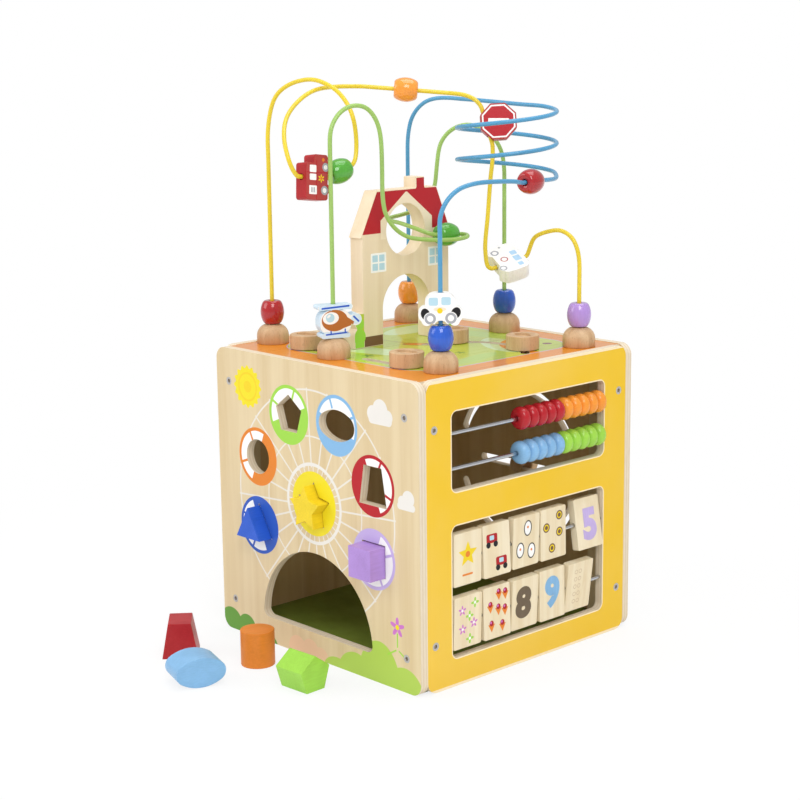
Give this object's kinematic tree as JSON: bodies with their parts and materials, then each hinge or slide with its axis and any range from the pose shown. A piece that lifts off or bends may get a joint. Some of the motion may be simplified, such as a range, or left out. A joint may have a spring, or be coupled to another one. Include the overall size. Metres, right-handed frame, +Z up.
{
  "type": "wooden activity cube",
  "caption": "Wooden activity cube with a shape sorter, an abacus with number tiles, a maze, gears, and a bead maze of bent wires with a house on its top board.",
  "frame": {"origin": "centre of the box's flat base, on the surface that it stands on", "axes": "+Z up, the sorter panel faces -Y and the abacus panel faces +X"},
  "size_m": [0.3265, 0.4637, 0.5697],
  "materials": {
    "plywood": "clear-lacquered birch plywood with printed artwork",
    "yellow_panel": "printed yellow plywood, satin",
    "beech": "clear-lacquered beech",
    "board_green": "printed green plywood, satin",
    "floor_green": "painted green plywood",
    "screw_steel": "darkened steel",
    "rod_steel": "bright steel",
    "wire_yellow": "gloss enamel",
    "wire_green": "gloss enamel",
    "wire_blue": "gloss enamel",
    "house_print": "printed plywood, satin",
    "red": "gloss-painted wood",
    "orange": "gloss-painted wood",
    "light_blue": "gloss-painted wood",
    "green": "gloss-painted wood",
    "dark_green": "gloss-painted wood",
    "blue": "gloss-painted wood",
    "purple": "gloss-painted wood",
    "yellow": "gloss-painted wood",
    "white": "white-printed wood",
    "tile_cream": "printed beech tile, satin"
  },
  "bodies": {
    "box": {"sorter_panel": "plywood", "abacus_panel": "yellow_panel", "maze_panel": "plywood", "gear_panel": "plywood", "top_board": "board_green", "floor_board": "floor_green", "corner_posts": "beech", "panel_screws": "screw_steel", "abacus_rods": "rod_steel", "tile_rods": "rod_steel", "wire_domes": "beech", "yellow_wire": "wire_yellow", "green_wire": "wire_green", "blue_wire": "wire_blue", "house": "house_print", "gear_pegs": "beech"},
    "beads_red": {"beads_red": "red"},
    "beads_orange": {"beads_orange": "orange"},
    "beads_blue": {"beads_blue": "light_blue"},
    "beads_green": {"beads_green": "green"},
    "tile_1": {"tile_1": "tile_cream"},
    "tile_2": {"tile_2": "tile_cream"},
    "tile_3": {"tile_3": "tile_cream"},
    "tile_4": {"tile_4": "tile_cream"},
    "tile_5": {"tile_5": "tile_cream"},
    "tile_6": {"tile_6": "tile_cream"},
    "tile_7": {"tile_7": "tile_cream"},
    "tile_8": {"tile_8": "tile_cream"},
    "tile_9": {"tile_9": "tile_cream"},
    "tile_10": {"tile_10": "tile_cream"},
    "block_star": {"block_star": "yellow"},
    "block_triangle": {"block_triangle": "blue"},
    "block_square": {"block_square": "purple"},
    "block_trapezoid": {"block_trapezoid": "red"},
    "block_oval": {"block_oval": "light_blue"},
    "block_round": {"block_round": "orange"},
    "block_pentagon": {"block_pentagon": "green"},
    "bead_d1": {"bead_d1": "red"},
    "bead_loop": {"bead_loop": "dark_green"},
    "bead_ridge": {"bead_ridge": "orange"},
    "bead_d6": {"bead_d6": "purple"},
    "bead_window": {"bead_window": "dark_green"},
    "bead_d5": {"bead_d5": "blue"},
    "bead_d3": {"bead_d3": "orange"},
    "bead_coil": {"bead_coil": "red"},
    "bead_d4": {"bead_d4": "blue"},
    "fire_truck": {"fire_truck": "red"},
    "round_sign": {"round_sign": "red"},
    "helicopter": {"helicopter": "white"},
    "ambulance": {"ambulance": "white"},
    "car": {"car": "white"},
    "puck_1": {"puck_1": "beech"},
    "puck_2": {"puck_2": "beech"},
    "puck_3": {"puck_3": "beech"},
    "puck_4": {"puck_4": "beech"},
    "gear_left": {"gear_left": "red"},
    "gear_middle": {"gear_middle": "yellow"},
    "gear_right": {"gear_right": "blue"},
    "maze_slider_1": {"maze_slider_1": "red"},
    "maze_slider_2": {"maze_slider_2": "blue"}
  },
  "joints": [
    {"name": "orange_beads_slide", "type": "slide", "parent": "box", "child": "beads_orange", "axis": [0, -1, 0], "range_m": [0, 0.045]},
    {"name": "red_beads_slide", "type": "slide", "parent": "beads_orange", "child": "beads_red", "axis": [0, -1, 0], "range_m": [0, 0.045]},
    {"name": "green_beads_slide", "type": "slide", "parent": "box", "child": "beads_green", "axis": [0, -1, 0], "range_m": [0, 0.045]},
    {"name": "blue_beads_slide", "type": "slide", "parent": "beads_green", "child": "beads_blue", "axis": [0, -1, 0], "range_m": [0, 0.045]},
    {"name": "tile_1_spin", "type": "hinge", "parent": "box", "child": "tile_1", "pos_m": [0.1455, -0.087, 0.1235], "axis": [0, 1, 0], "continuous": true},
    {"name": "tile_2_spin", "type": "hinge", "parent": "box", "child": "tile_2", "pos_m": [0.1455, -0.0475, 0.1235], "axis": [0, 1, 0], "continuous": true},
    {"name": "tile_3_spin", "type": "hinge", "parent": "box", "child": "tile_3", "pos_m": [0.1455, -0.006, 0.1235], "axis": [0, 1, 0], "continuous": true},
    {"name": "tile_4_spin", "type": "hinge", "parent": "box", "child": "tile_4", "pos_m": [0.1455, 0.0335, 0.1235], "axis": [0, 1, 0], "continuous": true},
    {"name": "tile_5_spin", "type": "hinge", "parent": "box", "child": "tile_5", "pos_m": [0.1455, 0.086, 0.1235], "axis": [0, 1, 0], "continuous": true},
    {"name": "tile_6_spin", "type": "hinge", "parent": "box", "child": "tile_6", "pos_m": [0.1455, -0.087, 0.061], "axis": [0, 1, 0], "continuous": true},
    {"name": "tile_7_spin", "type": "hinge", "parent": "box", "child": "tile_7", "pos_m": [0.1455, -0.047, 0.061], "axis": [0, 1, 0], "continuous": true},
    {"name": "tile_8_spin", "type": "hinge", "parent": "box", "child": "tile_8", "pos_m": [0.1455, -0.0075, 0.061], "axis": [0, 1, 0], "continuous": true},
    {"name": "tile_9_spin", "type": "hinge", "parent": "box", "child": "tile_9", "pos_m": [0.1455, 0.0325, 0.061], "axis": [0, 1, 0], "continuous": true},
    {"name": "tile_10_spin", "type": "hinge", "parent": "box", "child": "tile_10", "pos_m": [0.1455, 0.0725, 0.061], "axis": [0, 1, 0], "continuous": true},
    {"name": "star_block_slide", "type": "slide", "parent": "box", "child": "block_star", "axis": [0, -1, 0], "range_m": [-0.013, 0.04]},
    {"name": "triangle_block_slide", "type": "slide", "parent": "box", "child": "block_triangle", "axis": [0, -1, 0], "range_m": [-0.016, 0.04]},
    {"name": "square_block_slide", "type": "slide", "parent": "box", "child": "block_square", "axis": [0, -1, 0], "range_m": [-0.019, 0.04]},
    {"name": "trapezoid_block_lift", "type": "slide", "parent": "box", "child": "block_trapezoid", "axis": [0, 0, 1], "range_m": [0, 0.06]},
    {"name": "oval_block_lift", "type": "slide", "parent": "box", "child": "block_oval", "axis": [0, 0, 1], "range_m": [0, 0.06]},
    {"name": "round_block_lift", "type": "slide", "parent": "box", "child": "block_round", "axis": [0, 0, 1], "range_m": [0, 0.06]},
    {"name": "pentagon_block_lift", "type": "slide", "parent": "box", "child": "block_pentagon", "axis": [0, 0, 1], "range_m": [0, 0.06]},
    {"name": "bead_d1_slide", "type": "slide", "parent": "box", "child": "bead_d1", "axis": [0, 0, 1], "range_m": [0, 0.121]},
    {"name": "bead_d3_slide", "type": "slide", "parent": "box", "child": "bead_d3", "axis": [0, 0, 1], "range_m": [0, 0.111]},
    {"name": "bead_d5_slide", "type": "slide", "parent": "box", "child": "bead_d5", "axis": [0, 0, 1], "range_m": [0, 0.106]},
    {"name": "bead_d6_slide", "type": "slide", "parent": "box", "child": "bead_d6", "axis": [0, 0, 1], "range_m": [0, 0.024]},
    {"name": "bead_d4_slide", "type": "slide", "parent": "box", "child": "bead_d4", "axis": [0, 0, 1], "range_m": [0, 0.023]},
    {"name": "car_slide", "type": "slide", "parent": "bead_d4", "child": "car", "axis": [0, 0, 1], "range_m": [0, 0.023]},
    {"name": "helicopter_slide", "type": "slide", "parent": "box", "child": "helicopter", "axis": [0, 0, 1], "range_m": [0, 0.086]},
    {"name": "bead_loop_spin", "type": "hinge", "parent": "box", "child": "bead_loop", "pos_m": [-0.029, -0.084, 0.4795], "axis": [-0.1005, -0.9544, -0.2813], "continuous": true},
    {"name": "bead_window_spin", "type": "hinge", "parent": "box", "child": "bead_window", "pos_m": [-0.015, 0.049, 0.4075], "axis": [-0.0499, -0.9975, 0.0499], "continuous": true},
    {"name": "bead_coil_spin", "type": "hinge", "parent": "box", "child": "bead_coil", "pos_m": [0.119, 0.032, 0.4695], "axis": [0.206, -0.9785, 0], "continuous": true},
    {"name": "bead_ridge_slide", "type": "slide", "parent": "box", "child": "bead_ridge", "axis": [0.6797, 0.7283, -0.0874], "range_m": [-0.025, 0.025]},
    {"name": "fire_truck_swing", "type": "hinge", "parent": "box", "child": "fire_truck", "pos_m": [-0.029, -0.119, 0.4755], "axis": [0, -0.9927, 0.1203], "range_deg": [-20, 8]},
    {"name": "round_sign_swing", "type": "hinge", "parent": "box", "child": "round_sign", "pos_m": [0.031, 0.062, 0.5195], "axis": [0.3295, 0.0706, -0.9415], "range_deg": [-60, 60]},
    {"name": "ambulance_spin", "type": "hinge", "parent": "box", "child": "ambulance", "pos_m": [0.047, 0.078, 0.3805], "axis": [0.35, 0.9, 0.26], "continuous": true},
    {"name": "puck_1_slide", "type": "slide", "parent": "box", "child": "puck_1", "axis": [1, 0, 0], "range_m": [-0.0175, 0.028]},
    {"name": "puck_2_slide", "type": "slide", "parent": "box", "child": "puck_2", "axis": [1, 0, 0], "range_m": [-0.0575, 0.008]},
    {"name": "puck_3_track", "type": "hinge", "parent": "box", "child": "puck_3", "pos_m": [0.06, 0, 0.2995], "axis": [0, 0, 1], "range_deg": [-22, 25]},
    {"name": "puck_4_track", "type": "hinge", "parent": "box", "child": "puck_4", "pos_m": [0.06, 0, 0.2995], "axis": [0, 0, 1], "range_deg": [-21, 31]},
    {"name": "gear_middle_spin", "type": "hinge", "parent": "box", "child": "gear_middle", "pos_m": [-0.155, 0, 0.13], "axis": [1, 0, 0], "continuous": true},
    {"name": "gear_left_spin", "type": "hinge", "parent": "box", "child": "gear_left", "pos_m": [-0.155, -0.06467, 0.15679], "axis": [1, 0, 0], "continuous": true},
    {"name": "gear_right_spin", "type": "hinge", "parent": "box", "child": "gear_right", "pos_m": [-0.155, 0.06467, 0.15679], "axis": [1, 0, 0], "continuous": true},
    {"name": "maze_slider_1_track", "type": "hinge", "parent": "box", "child": "maze_slider_1", "pos_m": [0, 0.1455, 0.15], "axis": [0, 1, 0], "range_deg": [-66, 66]},
    {"name": "maze_slider_2_slide", "type": "slide", "parent": "box", "child": "maze_slider_2", "axis": [1, 0, 0], "range_m": [-0.05, 0.05]}
  ],
  "couplings": [
    {"joint": "gear_left_spin", "follows": "gear_middle_spin", "ratio": -1.3333},
    {"joint": "gear_right_spin", "follows": "gear_middle_spin", "ratio": -1.3333}
  ]
}
